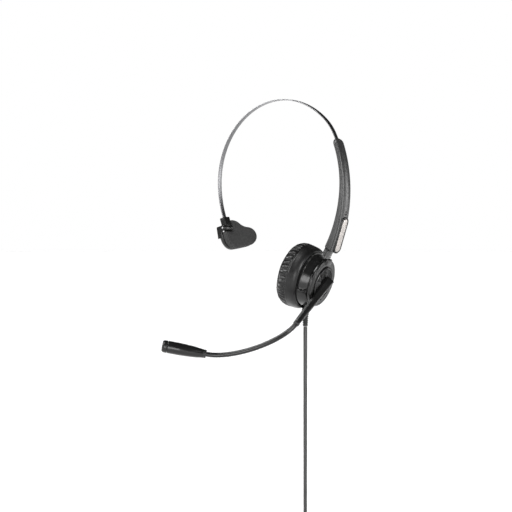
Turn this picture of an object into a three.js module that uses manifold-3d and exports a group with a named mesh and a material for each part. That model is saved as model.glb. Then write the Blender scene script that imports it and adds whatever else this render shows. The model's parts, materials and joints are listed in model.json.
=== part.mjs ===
// Office headset with one ear cup, a sprung steel headband and a boom microphone.
// Millimetres. The wearer faces -Y, +Z is up and the ear cup is on +X.
// The origin is the middle of the head, a millimetre above the boom's pivot.
import * as THREE from "three";
import { mergeVertices } from "three/addons/utils/BufferGeometryUtils.js";
import { ConvexGeometry } from "three/addons/geometries/ConvexGeometry.js";
import Module from "manifold-3d";

const wasm = await Module();
wasm.setup();

// ---------- driving dimensions ----------
const gap = 0.3;
const rad = THREE.MathUtils.degToRad;

const strap = { width: 4, thick: 0.8, endAngle: rad(-3) };
const slot = { x: 0.5, z: 74.1, r: 80 };
const crown = { x: 20.3, z: 75.8, r: 63 };
const bendRadius = 40;
const flare = { r: 75, endAngle: rad(204) };

const armOuter = { x: -17.5, z: 68.7, r: 101.2 };
const arm = { width: 9.5, innerR: 78, splitR: 79.3, top: rad(24.5), bottom: rad(-32) };
const foot = { top: 27, outerR: 86.6, level: 19.6 };
const channel = { half: 3, outerR: 81.3, low: rad(-7), high: rad(22.5), mouthHalf: 2.4 };

const pivotAt = new THREE.Vector3(60.4, 0.5, -1);
const pivotNormal = new THREE.Vector3(0.938, 0.174, -0.288).normalize();
const disc = { r: 18.6, thick: 4.6, rim: 3, recessR: 12.9, recess: 2.3 };
const swivel = { y: 22, z: -2.2, ball: 2.3, socket: 2.6, post: 0.9, hole: 1.6 };
const scoop = { r: 20.6, z: -7.1, cut: 3.7, from: rad(-11), to: rad(191) };
const cup = { r: 21, wall: 1.4, baffleZ: -19.2 };
const cushion = { r: 24.8, holeR: 11.2, backZ: -10.8, faceZ: -28.2 };

const lever = { angle: rad(222.9), ahead: 42, behind: 6.5, width: 6.6, base: 0.9, ridge: 7, tipRidge: 4.7 };
const neckRadius = 1.8;
const mic = { at: new THREE.Vector3(10.1, -74.8, -52), length: 33, r0: 3.2, r1: 4.6 };
const micAim = new THREE.Vector3(-26.5, -22, 6.5).normalize();

const pad = { x: -36.4, z: 41, tilt: rad(12), bendR: 60, back: 3.5, middle: 7, foam: 6.5 };
const padPlateDepth = { outer: 62, inner: 58.2 };
const hinge = { width: 6.6, ear: 1.6, earAt: 4.3 };
const cordRadius = 1.5;
const reliefAt = new THREE.Vector3(45.7, -2.25, -21.8);
const reliefLength = 12;
const coil = { r: 16.5, bundle: 5.5, drop: 8, z: -245 };

// ---------- materials ----------
function material(color, roughness, metalness = 0) {
  return new THREE.MeshStandardMaterial({ color, roughness, metalness });
}
const steel = material(0xb8babd, 0.3, 1);
const gloss = material(0x141416, 0.2);
const satin = material(0x1d1d1f, 0.45);
const foamBlack = material(0x3a3a3a, 0.9);
const leatherette = material(0x1a1a1b, 0.6);
const rubber = material(0x161616, 0.7);
const silver = material(0xc9cbce, 0.3, 0.6);
const cloth = material(0x101010, 0.95);
const brass = material(0xc9a24a, 0.3, 1);

// ---------- solids ----------
const group = new THREE.Group();
const pivotFrame = new THREE.Group();
const padFrame = new THREE.Group();
const micFrame = new THREE.Group();
group.add(pivotFrame, padFrame, micFrame);

function add(name, geometry, look, parent = group) {
  const mesh = new THREE.Mesh(geometry, look);
  mesh.name = name;
  parent.add(mesh);
}

function toManifold(geometry) {
  const bare = new THREE.BufferGeometry();
  bare.setAttribute("position", geometry.getAttribute("position"));
  if (geometry.index) bare.setIndex(geometry.index);
  const welded = mergeVertices(bare, 1e-4);
  const index = welded.index.array;
  const kept = [];
  for (let i = 0; i < index.length; i += 3) {
    const [a, b, c] = index.slice(i, i + 3);
    if (a !== b && b !== c && c !== a) kept.push(a, b, c);
  }
  const mesh = new wasm.Mesh({
    numProp: 3,
    vertProperties: new Float32Array(welded.getAttribute("position").array),
    triVerts: new Uint32Array(kept),
  });
  return new wasm.Manifold(mesh);
}

function fromManifold(solid) {
  const mesh = solid.getMesh();
  const geometry = new THREE.BufferGeometry();
  geometry.setAttribute("position", new THREE.BufferAttribute(mesh.vertProperties, 3));
  geometry.setIndex(new THREE.BufferAttribute(mesh.triVerts, 1));
  geometry.computeVertexNormals();
  return geometry;
}

function cut(body, ...tools) {
  const solids = tools.map(toManifold);
  return fromManifold(solids.reduce((left, tool) => left.subtract(tool), toManifold(body)));
}

function join(body, ...others) {
  return fromManifold(others.map(toManifold).reduce((sum, one) => sum.add(one), toManifold(body)));
}

function common(a, b) {
  return fromManifold(toManifold(a).intersect(toManifold(b)));
}

// A solid of revolution about Z from [radius, z] points that close on the axis or on themselves.
function turned(profile, sides = 48) {
  const points = profile.map(([r, z]) => new THREE.Vector2(r, z));
  if (THREE.ShapeUtils.area(points) < 0) points.reverse();
  return new THREE.LatheGeometry(points, sides).rotateX(Math.PI / 2);
}

// A round bar along Z.
function rod(r, z0, z1, sides = 24) {
  return new THREE.CylinderGeometry(r, r, z1 - z0, sides).rotateX(Math.PI / 2)
    .translate(0, 0, (z0 + z1) / 2);
}

// A flat ring along Z.
function ring(r0, r1, z0, z1, sides = 48) {
  return cut(rod(r1, z0, z1, sides), rod(r0, z0 - 1, z1 + 1, sides));
}

// An outline in X and Z, given as Vector2, pulled along Y about y = 0.
function profileXZ(shape, width, curveSegments = 24) {
  return new THREE.ExtrudeGeometry(shape, { depth: width, bevelEnabled: false, curveSegments })
    .rotateX(Math.PI / 2).translate(0, width / 2, 0);
}

// A curved bar between two radii about a centre in X and Z.
function band(centre, r0, r1, a0, a1, width) {
  const shape = new THREE.Shape();
  shape.absarc(centre.x, centre.z, r1, a0, a1, false);
  shape.absarc(centre.x, centre.z, r0, a1, a0, true);
  return profileXZ(shape, width, Math.max(3, Math.round((a1 - a0) / rad(2.5))));
}

function polar(centre, r, angle) {
  return new THREE.Vector2(centre.x + r * Math.cos(angle), centre.z + r * Math.sin(angle));
}

function circle(r, sides) {
  const points = [];
  for (let i = 0; i < sides; i += 1) {
    const angle = (2 * Math.PI * i) / sides;
    points.push(new THREE.Vector2(r * Math.cos(angle), r * Math.sin(angle)));
  }
  return new THREE.Shape(points);
}

function sweep(curve, r, sides, steps) {
  return new THREE.ExtrudeGeometry(circle(r, sides), { steps, extrudePath: curve });
}

// ---------- headband: strap, end stop and temple clip ----------
// The bend is the arc that is tangent to the slot's arc and to the crown's arc.
function bendCentre() {
  const a = slot.r - bendRadius;
  const b = crown.r - bendRadius;
  const dx = crown.x - slot.x;
  const dz = crown.z - slot.z;
  const d = Math.hypot(dx, dz);
  const along = (a * a - b * b + d * d) / (2 * d);
  const across = Math.sqrt(a * a - along * along);
  return { x: slot.x + (along * dx - across * dz) / d, z: slot.z + (along * dz + across * dx) / d };
}

function strapLine(offset, extra = 0) {
  const bend = bendCentre();
  const toBend = Math.atan2(bend.z - slot.z, bend.x - slot.x);
  const toCrown = Math.atan2(bend.z - crown.z, bend.x - crown.x);
  const flareCentre = { x: crown.x + flare.r - crown.r, z: crown.z };
  const arcs = [
    [slot, slot.r, strap.endAngle, toBend, 10],
    [bend, bendRadius, toBend, toCrown, 5],
    [crown, crown.r, toCrown, Math.PI, 28],
    [flareCentre, flare.r, Math.PI, flare.endAngle + extra, 6],
  ];
  const line = [];
  for (const [centre, r, a0, a1, steps] of arcs) {
    for (let i = line.length ? 1 : 0; i <= steps; i += 1) {
      line.push(polar(centre, r + offset, a0 + ((a1 - a0) * i) / steps));
    }
  }
  return line;
}

function strapSolid() {
  const outer = strapLine(strap.thick / 2);
  const inner = strapLine(-strap.thick / 2).reverse();
  return profileXZ(new THREE.Shape([...outer, ...inner]), strap.width);
}

const stopInner = slot.r + strap.thick / 2 + gap / 2;
add("headband_strap", strapSolid(), steel);
const stopAt = polar(slot, stopInner + 0.2, rad(-1));
add("strap_end_stop", new THREE.BoxGeometry(0.4, 5, 4.2).rotateY(rad(1))
  .translate(stopAt.x, 0, stopAt.y), satin);

// The clip sits over the strap's lower end and carries the temple pad's hinge pin.
const pinAt = { x: pad.x + 0.9, z: pad.z - 0.6 };
function clipFrame(geometry) {
  return geometry.rotateY(-rad(20)).translate(pad.x, 0, pad.z + 4);
}
function clipSolid() {
  const block = clipFrame(new THREE.BoxGeometry(4.6, hinge.width, 7).translate(0, 0, 0.1));
  const knuckle = new THREE.CylinderGeometry(2.3, 2.3, hinge.width, 20)
    .translate(pinAt.x, 0, pinAt.z);
  const bore = new THREE.CylinderGeometry(1.1, 1.1, 12, 20).translate(pinAt.x, 0, pinAt.z);
  const socket = strapLine(strap.thick / 2 + gap, rad(0.4));
  const back = strapLine(-strap.thick / 2 - gap, rad(0.4)).reverse();
  const pocket = profileXZ(new THREE.Shape([...socket, ...back]), strap.width + 2 * gap);
  return cut(join(block, knuckle), bore, pocket);
}
add("strap_clip", clipSolid(), gloss);

// ---------- temple pad ----------
padFrame.position.set(pad.x, 0, pad.z);
padFrame.rotation.y = -pad.tilt;
const pin = { x: 0.76, z: -0.77, r: 0.8, bore: 1.1, knuckle: 2.3 };
const bean = { bigY: 7.2, bigZ: -6, bigR: 11.5, smallY: 21.4, smallZ: -8.2, smallR: 7.6 };

// A bean outline in y and z, with a tall lobe by the clip and a smaller one to the rear.
function beanOutline(grow) {
  const shape = new THREE.Shape();
  const big = bean.bigR + grow;
  const small = bean.smallR + grow;
  shape.absarc(bean.bigY, bean.bigZ, big, rad(52), rad(268), false);
  shape.absarc(bean.smallY, bean.smallZ, small, rad(-82), rad(86), false);
  shape.quadraticCurveTo(bean.smallY - 4, bean.smallZ + small + 1,
    bean.bigY + big * Math.cos(rad(52)), bean.bigZ + big * Math.sin(rad(52)));
  return shape;
}

// The bean is cut from a wall that curves about a vertical axis, as a temple does.
function padLayer(outerR, innerR, grow) {
  const prism = new THREE.ExtrudeGeometry(beanOutline(grow),
    { depth: 60, bevelEnabled: false, curveSegments: 10 });
  prism.applyMatrix4(new THREE.Matrix4().set(0, 0, 1, -30, 1, 0, 0, 0, 0, 1, 0, 0, 0, 0, 0, 1));
  const wall = ring(innerR, outerR, -40, 20, 96).translate(pad.bendR - pad.back, pad.middle, 0);
  const clipRoom = new THREE.BoxGeometry(40, 40, 40).translate(0, 5.9 - 20, 20 - 3.7);
  return cut(common(prism, wall), clipRoom);
}

function crossBar(r, width, y = 0) {
  return new THREE.CylinderGeometry(r, r, width, 20).translate(pin.x, y, pin.z);
}

function padPlate() {
  const parts = [new THREE.BoxGeometry(2, 10.2, 9).translate(-4.6, 0, -3.5)];
  for (const side of [-1, 1]) {
    parts.push(new THREE.BoxGeometry(6, hinge.ear, 4.2).translate(-2.2, side * hinge.earAt, -1.2));
    parts.push(crossBar(pin.knuckle, hinge.ear, side * hinge.earAt));
  }
  const plate = padLayer(padPlateDepth.outer, padPlateDepth.inner, 0.4);
  return cut(join(plate, ...parts), crossBar(pin.bore, 20));
}

add("pad_backplate", padPlate(), gloss, padFrame);
add("pad_foam", padLayer(padPlateDepth.inner - gap, pad.bendR - pad.foam, 0), foamBlack, padFrame);
add("pad_hinge_pin", crossBar(pin.r, 10.2), steel, padFrame);

// ---------- the boom pivot's frame: x to the rear, y up, z outwards ----------
const up = new THREE.Vector3(0, 0, 1).addScaledVector(pivotNormal, -pivotNormal.z).normalize();
const rear = up.clone().cross(pivotNormal);
pivotFrame.position.copy(pivotAt);
pivotFrame.quaternion.setFromRotationMatrix(new THREE.Matrix4().makeBasis(rear, up, pivotNormal));
pivotFrame.updateMatrix();

// ---------- slider arm ----------
function armOutline() {
  const lower = { x: slot.x - 18 * Math.cos(channel.low), z: slot.z - 18 * Math.sin(channel.low) };
  const points = [];
  const steps = 30;
  for (let i = 0; i <= steps; i += 1) {
    const angle = arm.bottom + ((arm.top - arm.bottom) * i) / steps;
    points.push(polar(armOuter, armOuter.r, angle));
  }
  for (let i = 0; i <= 10; i += 1) {
    points.push(polar(slot, arm.innerR, arm.top + ((channel.low - arm.top) * i) / 10));
  }
  for (let i = 1; i <= 14; i += 1) {
    points.push(polar(lower, arm.innerR + 18, channel.low + ((rad(-38) - channel.low) * i) / 14));
  }
  return new THREE.Shape(points);
}

const screwAngles = [rad(-13), rad(-28)];
function armScrew(angle) {
  const head = rod(1.9, -1.1, -0.1, 20);
  const shank = rod(1, -0.5, 4.2, 16);
  const at = polar(slot, arm.innerR + 1, angle);
  return join(head, shank).rotateY(Math.PI / 2 - angle).translate(at.x, 0, at.y);
}
function armScrewHole(angle, r, from, to) {
  const at = polar(slot, arm.innerR + 1, angle);
  return rod(r, from, to, 20).rotateY(Math.PI / 2 - angle).translate(at.x, 0, at.y);
}

// Everything under the foot's level, which is square to the swivel.
function underFoot() {
  return new THREE.BoxGeometry(60, 60, 60).translate(0, foot.level - 30, 0)
    .applyMatrix4(pivotFrame.matrix);
}

// The block inside the arm's lower end that the swivel's socket is cut in.
function footBlock(grow) {
  const column = new THREE.BoxGeometry(40, 30, 40).translate(66, 0, foot.top + grow - 20);
  return common(column, band(slot, 60, foot.outerR + grow, rad(-60), rad(0), 30));
}

function armShell(r0, r1) {
  const body = profileXZ(armOutline(), arm.width);
  const sector = band(slot, r0, r1, rad(-60), rad(60), 30);
  const round = new THREE.CylinderGeometry(arm.width / 2, arm.width / 2, 60, 32)
    .rotateZ(Math.PI / 2);
  const long = new THREE.BoxGeometry(160, arm.width, 160).translate(0, 0, -80);
  const topAt = polar(slot, slot.r, arm.top);
  const tip = join(round, long).rotateY(-0.35).translate(topAt.x, 0, topAt.y - arm.width / 2);
  return common(common(cut(body, underFoot()), sector), tip);
}

function outerShell() {
  const track = band(slot, 70, channel.outerR, channel.low, channel.high, 2 * channel.half);
  const mouth = band(slot, 70, slot.r + 0.85, channel.high - 0.05, rad(40), 2 * channel.mouthHalf);
  const holes = screwAngles.map((angle) => armScrewHole(angle, 1.3, -1, 4.6));
  const spring = band(slot, 81, 82, rad(9.5), rad(20.5), 5.6);
  return cut(armShell(arm.splitR + gap, 120), track, mouth, spring, footBlock(gap), ...holes);
}

function innerShell() {
  const holes = screwAngles.flatMap((angle) => [
    armScrewHole(angle, 1.3, -4, 3), armScrewHole(angle, 2.2, -4, 0.2),
  ]);
  return cut(armShell(60, arm.splitR), footBlock(gap), ...holes);
}

function armFoot() {
  const ball = new THREE.SphereGeometry(swivel.socket, 28, 18).rotateX(Math.PI / 2)
    .translate(0, swivel.y, swivel.z);
  const mouth = new THREE.CylinderGeometry(swivel.socket * 0.66, swivel.socket * 0.9, 2, 24)
    .translate(0, foot.level + 0.2, swivel.z);
  const block = common(armShell(60, 120), footBlock(0));
  return cut(block, ball.applyMatrix4(pivotFrame.matrix), mouth.applyMatrix4(pivotFrame.matrix));
}

add("arm_outer_shell", outerShell(), gloss);
add("arm_inner_shell", innerShell(), satin);
add("arm_foot", armFoot(), gloss);
add("friction_spring", band(slot, 81.1, 81.45, rad(10), rad(20), 5), steel);
screwAngles.forEach((angle, i) => add(["arm_screw_upper", "arm_screw_lower"][i], armScrew(angle), steel));

// ---------- badge on the arm's outer face ----------
function badge() {
  const middle = rad(-19.5);
  const half = 10.3;
  const shape = new THREE.Shape();
  shape.absarc(0, half, 2.9, 0, Math.PI, false);
  shape.absarc(0, -half, 2.9, Math.PI, 2 * Math.PI, false);
  const pill = new THREE.ExtrudeGeometry(shape, { depth: 30, bevelEnabled: false })
    .applyMatrix4(new THREE.Matrix4().set(0, 0, 1, 0, 1, 0, 0, 0, 0, 1, 0, 0, 0, 0, 0, 1))
    .rotateY(-middle);
  const at = polar(armOuter, armOuter.r - 15, middle);
  const skin = band(armOuter, armOuter.r + gap, armOuter.r + 1, rad(-45), rad(10), 20);
  return common(pill.translate(at.x, 0, at.y), skin);
}
add("arm_badge", badge(), silver);

// ---------- boom pivot on the arm's lower end ----------
const well = disc.recess + 0.8;
function pivotHousing() {
  const dish = turned([[0, -disc.thick], [14.2, -disc.thick], [14.2, -disc.rim], [disc.r - 0.6, -disc.rim],
    [disc.r, -disc.rim + 0.6], [disc.r, -0.8], [disc.r - 0.8, 0], [disc.recessR, 0],
    [disc.recessR, -disc.recess], [6, -disc.recess], [6, -well], [0, -well]]);
  const neck = new THREE.BoxGeometry(8, 5.4, 4.2).translate(0, 16.2, -1);
  const trim = rod(disc.recessR, -disc.recess, 20, 48);
  const hole = new THREE.CylinderGeometry(swivel.hole, swivel.hole, 5, 24)
    .translate(0, foot.level - 1.2, swivel.z);
  return cut(join(dish, cut(neck, trim)), rod(1.5, -10, 0, 20), hole);
}
add("pivot_housing", pivotHousing(), gloss, pivotFrame);
add("wave_washer", ring(3, 5.6, 0.25 - well, 0.65 - well, 32), steel, pivotFrame);

function hub() {
  const plate = turned([[0, -2], [12.5, -2], [12.5, 0.1], [12, 0.6], [10.4, 0.6], [10.2, 0.2],
    [9.6, 0.2], [9.4, 0.6], [7.9, 0.6], [7.7, 0.2], [7.1, 0.2], [6.9, 0.6], [0, 0.6]]);
  return cut(plate, rod(1.45, -5, -0.3, 20));
}
add("boom_hub", hub(), gloss, pivotFrame);
add("boom_screw", join(rod(1.15, -5.2, -0.6, 16), rod(2.3, -5.8, -4.9, 20)), steel, pivotFrame);

// The lever is a ridged bar: a wide foot on the hub that rises to a narrow crest.
function leverBar() {
  const half = lever.width / 2;
  const points = [];
  function outline(z, inset, tipInset) {
    for (let i = 0; i <= 8; i += 1) {
      const a = Math.PI / 2 + (Math.PI * i) / 8;
      const r = half - inset;
      points.push(new THREE.Vector3(half - lever.behind + r * Math.cos(a), r * Math.sin(a), z));
    }
    for (let i = 0; i <= 8; i += 1) {
      const a = -Math.PI / 2 + (Math.PI * i) / 8;
      const r = 2.6 - tipInset;
      points.push(new THREE.Vector3(lever.ahead - 2.6 + r * Math.cos(a), r * Math.sin(a), z));
    }
  }
  outline(lever.base, 0, 0);
  outline(2.8, 0, 0.1);
  for (const y of [-0.5, 0.5]) {
    points.push(new THREE.Vector3(2 - lever.behind, y, lever.ridge));
    points.push(new THREE.Vector3(lever.ahead - 1, y, lever.tipRidge));
  }
  return new ConvexGeometry(points).rotateZ(lever.angle);
}

// ---------- swivel and ear cup ----------
function swivelStud() {
  const ball = new THREE.SphereGeometry(swivel.ball, 24, 16).translate(0, swivel.y, swivel.z);
  const low = disc.recessR + 3.6;
  const post = new THREE.CylinderGeometry(swivel.post, swivel.post, swivel.y - low, 16)
    .translate(0, (swivel.y + low) / 2, swivel.z);
  return join(ball, post);
}
add("swivel_stud", swivelStud(), steel, pivotFrame);

// The cord's gland stands on the cup's lower rim, and its foot is cut level.
const boss = { y: -21.4, z: -8.5, r: 2.7 };
// A round-ended groove round the drum leaves room for the arm's foot when the cup turns.
function scoopCut() {
  class Arc extends THREE.Curve {
    getPoint(t, target = new THREE.Vector3()) {
      const a = scoop.from + (scoop.to - scoop.from) * t;
      return target.set(scoop.r * Math.cos(a), scoop.r * Math.sin(a), scoop.z);
    }
  }
  const arc = new Arc();
  const ends = [0, 1].map((t) => {
    const at = arc.getPoint(t);
    return new THREE.SphereGeometry(scoop.cut, 20, 14).translate(at.x, at.y, at.z);
  });
  return join(sweep(arc, scoop.cut, 20, 40), ...ends);
}

function cupHousing() {
  const inner = cup.r - cup.wall;
  const end = cup.baffleZ + gap;
  const front = -disc.rim - gap;
  const bowl = turned([[14.5, front], [18, front], [18.6, front - 0.6], [20.2, -7], [cup.r, -10.2],
    [cup.r, end], [inner, end], [inner, -11.6], [15.2, -9.9], [14.5, -8], [14.5, front]]);
  const gland = rod(boss.r, 0, 8, 20).rotateX(Math.PI / 2).translate(0, boss.y + 2, boss.z);
  const clear = rod(cup.r - 0.8, -40, 10, 48);
  const below = new THREE.BoxGeometry(40, 40, 20)
    .translate(reliefAt.x, reliefAt.y, reliefAt.z + gap - 10)
    .applyMatrix4(pivotFrame.matrix.clone().invert());
  const studRoom = new THREE.CylinderGeometry(2.1, 2.1, 6, 20).translate(0, 18, swivel.z);
  return join(cut(bowl, scoopCut(), studRoom), cut(gland, clear, below));
}
add("cup_housing", cupHousing(), gloss, pivotFrame);
add("speaker_magnet", rod(7, -17.2, -12.4, 32), steel, pivotFrame);
add("speaker_driver", turned([[0, -18.9], [14.2, -18.9], [14.2, -18.2], [9, -17.5], [0, -17.5]]),
  silver, pivotFrame);

function baffle() {
  const plate = rod(20.9, -20.6, cup.baffleZ, 48);
  const holes = [];
  for (let i = 0; i < 6; i += 1) {
    const a = (Math.PI * i) / 3;
    holes.push(rod(1.3, -30, 0, 12).translate(5.4 * Math.cos(a), 5.4 * Math.sin(a), 0));
  }
  return cut(plate, rod(1.6, -30, 0, 16), ...holes);
}
add("speaker_baffle", baffle(), satin, pivotFrame);
add("speaker_cloth", rod(cushion.holeR - 0.5, -22.2, -20.9, 32), cloth, pivotFrame);

function earCushion() {
  const r = cushion.r;
  const ringBody = turned([[21.4, cushion.backZ], [22.6, cushion.backZ], [23.8, -12.2],
    [r - 0.4, -14.6], [r, -17], [r, -21.6], [r - 0.8, -24.8], [r - 3, -27.4], [20, cushion.faceZ],
    [15.5, cushion.faceZ], [12.6, -27.4], [cushion.holeR, -25.6], [cushion.holeR, -20.9],
    [21.4, -20.9], [21.4, cushion.backZ]]);
  const notch = rod(boss.r + 0.5, -4, 12, 20).rotateX(Math.PI / 2)
    .translate(0, boss.y, boss.z);
  return cut(ringBody, notch);
}
add("ear_cushion", earCushion(), leatherette, pivotFrame);

// ---------- boom: lever, gooseneck and microphone ----------
function toWorld(x, y, z) {
  return new THREE.Vector3(x, y, z).applyQuaternion(pivotFrame.quaternion).add(pivotAt);
}
const aim = { x: Math.cos(lever.angle), y: Math.sin(lever.angle) };
const neckStart = toWorld((lever.ahead + gap) * aim.x, (lever.ahead + gap) * aim.y, 2.4);
const neckAim = toWorld(aim.x, aim.y, 0).sub(pivotAt);
const neck = new THREE.CubicBezierCurve3(neckStart, neckStart.clone().addScaledVector(neckAim, 20),
  mic.at.clone().addScaledVector(micAim, -20), mic.at);

// A stretch of a longer curve, between two of its parameters.
class Stretch extends THREE.Curve {
  constructor(base, from, to) {
    super();
    this.base = base;
    this.from = from;
    this.to = to;
  }

  getPoint(t, target = new THREE.Vector3()) {
    return this.base.getPoint(this.from + (this.to - this.from) * t, target);
  }
}

const bendAt = 0.5;
const neckLength = neck.getLength();
const tipStart = bendAt + (neckRadius + gap) / neckLength;
const knuckle = new THREE.SphereGeometry(neckRadius * 1.02, 12, 8);
const bendPoint = neck.getPoint(bendAt);
add("boom_lever", leverBar(), gloss, pivotFrame);
add("gooseneck_root", join(sweep(new Stretch(neck, 0, bendAt), neckRadius, 12, 20),
  knuckle.translate(bendPoint.x, bendPoint.y, bendPoint.z)), rubber);
add("gooseneck_tip", sweep(new Stretch(neck, tipStart, 1), neckRadius, 12, 20), rubber);

micFrame.position.copy(mic.at);
micFrame.quaternion.setFromUnitVectors(new THREE.Vector3(0, 0, 1), micAim);
const capZ = mic.length - 4;
add("mic_body", turned([[0, gap], [mic.r0 - 0.7, gap], [mic.r0, 1.2], [mic.r0 + 0.1, 3.5],
  [3.85, 8], [4.3, 14], [mic.r1, 20], [mic.r1, capZ], [mic.r1 - 1, capZ], [3.4, 23.5], [3.4, 18.5],
  [0, 18.5]], 28), gloss, micFrame);
add("mic_element", rod(3.1, 23.5, 28.3, 24), silver, micFrame);
add("mic_cap", turned([[0, capZ + gap], [mic.r1, capZ + gap], [mic.r1, mic.length - 1.2],
  [mic.r1 - 1.2, mic.length], [0, mic.length]], 28), rubber, micFrame);

// ---------- strain relief, cord, coil, tie and plug ----------
const reliefEnd = reliefAt.z - reliefLength;
const cone = [[0, reliefEnd], [1.9, reliefEnd], [2.5, reliefAt.z], [0, reliefAt.z]];
add("strain_relief", turned(cone, 20).translate(reliefAt.x, reliefAt.y, 0), rubber);

const coilAt = new THREE.Vector3(reliefAt.x - coil.drop, reliefAt.y, coil.z);
const coilOuter = coil.r + coil.bundle;
const leadEnd = coil.z + Math.sqrt(coilOuter ** 2 - (coil.drop - cordRadius) ** 2) + gap;
const leadTop = new THREE.Vector3(reliefAt.x, reliefAt.y, reliefEnd - gap);
const lead = new THREE.LineCurve3(leadTop, new THREE.Vector3(reliefAt.x, reliefAt.y, leadEnd));
add("cord_lead", sweep(lead, cordRadius, 8, 16), rubber);

function coilSolid() {
  const section = [];
  for (let i = 0; i <= 12; i += 1) {
    const a = (Math.PI * i) / 6;
    section.push([coil.r + coil.bundle * Math.cos(a), coil.bundle * Math.sin(a)]);
  }
  return turned(section, 36).rotateX(Math.PI / 2).translate(coilAt.x, coilAt.y, coilAt.z);
}
add("cord_coil", coilSolid(), rubber);

const tieInner = coil.bundle + 0.9;
add("cord_tie", ring(tieInner, tieInner + 1, -4, 4, 28).rotateY(Math.PI / 2)
  .translate(coilAt.x, coilAt.y, coil.z + coil.r), cloth);

const tailX = coilAt.x + coil.r;
const tailY = reliefAt.y - coil.bundle - 4.2;
const tail = new THREE.CatmullRomCurve3([
  new THREE.Vector3(tailX, reliefAt.y - coil.bundle - 1.5, coil.z + 3.5),
  new THREE.Vector3(tailX, tailY + 1, coil.z),
  new THREE.Vector3(tailX, tailY, coil.z - 4),
  new THREE.Vector3(tailX, tailY, coil.z - 8),
]);
add("cord_tail", sweep(tail, cordRadius, 8, 10), rubber);

const plugTop = coil.z - 8 - gap;
add("plug_body", turned([[0, plugTop], [2.2, plugTop], [3.3, plugTop - 3], [3.3, plugTop - 14],
  [2.6, plugTop - 15], [0, plugTop - 15]], 24).translate(tailX, tailY, 0), rubber);
const tip = plugTop - 15 - gap;
add("plug_contacts", turned([[0, tip], [1.75, tip], [1.75, tip - 10.5], [1.3, tip - 11.2],
  [1.75, tip - 12.4], [0.5, tip - 14], [0, tip - 14]], 20).translate(tailX, tailY, 0), brass);

export default group;
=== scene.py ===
"""Looks for the office headset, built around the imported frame. Shapes are worked out in
millimetres in the row frame, or in a part's own frame, and become metres as meshes are made."""

import json
import math
import random
from bisect import bisect_right

import bmesh
import bpy
from mathutils import Matrix, Vector


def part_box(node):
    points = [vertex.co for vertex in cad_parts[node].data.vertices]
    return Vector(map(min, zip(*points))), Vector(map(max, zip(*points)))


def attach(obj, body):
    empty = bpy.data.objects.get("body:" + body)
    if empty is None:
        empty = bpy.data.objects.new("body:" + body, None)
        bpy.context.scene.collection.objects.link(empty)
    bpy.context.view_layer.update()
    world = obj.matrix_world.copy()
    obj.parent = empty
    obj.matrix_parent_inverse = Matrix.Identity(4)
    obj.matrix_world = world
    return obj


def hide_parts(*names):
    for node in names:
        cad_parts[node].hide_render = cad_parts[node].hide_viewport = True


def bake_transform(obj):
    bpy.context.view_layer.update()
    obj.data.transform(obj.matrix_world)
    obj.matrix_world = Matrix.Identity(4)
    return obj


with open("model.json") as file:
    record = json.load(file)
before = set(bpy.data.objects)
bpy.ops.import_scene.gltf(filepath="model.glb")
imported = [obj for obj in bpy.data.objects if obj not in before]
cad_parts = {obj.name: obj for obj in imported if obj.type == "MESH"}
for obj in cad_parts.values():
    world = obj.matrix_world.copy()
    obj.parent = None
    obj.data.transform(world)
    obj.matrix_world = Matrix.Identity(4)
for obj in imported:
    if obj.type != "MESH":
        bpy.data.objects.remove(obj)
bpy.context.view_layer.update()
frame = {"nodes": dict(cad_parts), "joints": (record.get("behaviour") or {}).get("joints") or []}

MM = 0.001
TAU = 2 * math.pi
rad = math.radians
nodes = frame["nodes"]
joints = {j["name"]: j for j in frame["joints"]}
rng = random.Random(7)


def smooth(t):
    """An even step from 0 at t = 0 to 1 at t = 1."""
    t = min(1.0, max(0.0, t))
    return t * t * (3 - 2 * t)


def polar(centre, r, angle):
    """The two coordinates of the point at r and angle round a centre."""
    return centre[0] + r * math.cos(angle), centre[1] + r * math.sin(angle)


def linked(name, data):
    """A new object in the scene."""
    made = bpy.data.objects.new(name, data)
    bpy.context.scene.collection.objects.link(made)
    return made


# ---------- frames ----------
def frame_of(origin, x, y, z):
    """The frame at origin with axes x, y and z."""
    m = Matrix((x, y, z)).transposed().to_4x4()
    m.translation = origin
    return m


ROW = Matrix.Identity(4)
SIDEWAYS = Vector((0, 1, 0))
pivot = Vector(joints["boom_turn"]["pos_m"]) / MM
normal = Vector(joints["boom_turn"]["axis"]).normalized()
up = (Vector((0, 0, 1)) - normal * normal.z).normalized()
rear = up.cross(normal)
CUP = frame_of(pivot, rear, up, normal)

slot_centre = Vector(joints["arm_slide"]["pos_m"]) / MM
SLOT_R = 80.0
pad_pin = Vector(joints["pad_tilt"]["pos_m"]) / MM
PAD_TILT = rad(12)
PIN_IN, PIN_UP = 0.76, -0.77
pad_in = Vector((math.cos(PAD_TILT), 0, math.sin(PAD_TILT)))
pad_up = Vector((-math.sin(PAD_TILT), 0, math.cos(PAD_TILT)))
PAD = frame_of(pad_pin - pad_in * PIN_IN - pad_up * PIN_UP, pad_in, SIDEWAYS, pad_up)

# ---------- camera ----------
AZIMUTH, ELEVATION, LENS, DISTANCE = rad(40), rad(1.5), 100, 1.111
target = Vector((-0.005, 0, 0.0185))
back = Vector((
    math.sin(AZIMUTH) * math.cos(ELEVATION),
    -math.cos(AZIMUTH) * math.cos(ELEVATION),
    math.sin(ELEVATION),
))
camera = linked("camera", bpy.data.cameras.new("camera"))
camera.data.lens = LENS
camera.data.sensor_width = 36
camera.location = target + back * DISTANCE
camera.rotation_euler = (-back).to_track_quat("-Z", "Y").to_euler()
bpy.context.scene.camera = camera


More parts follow.
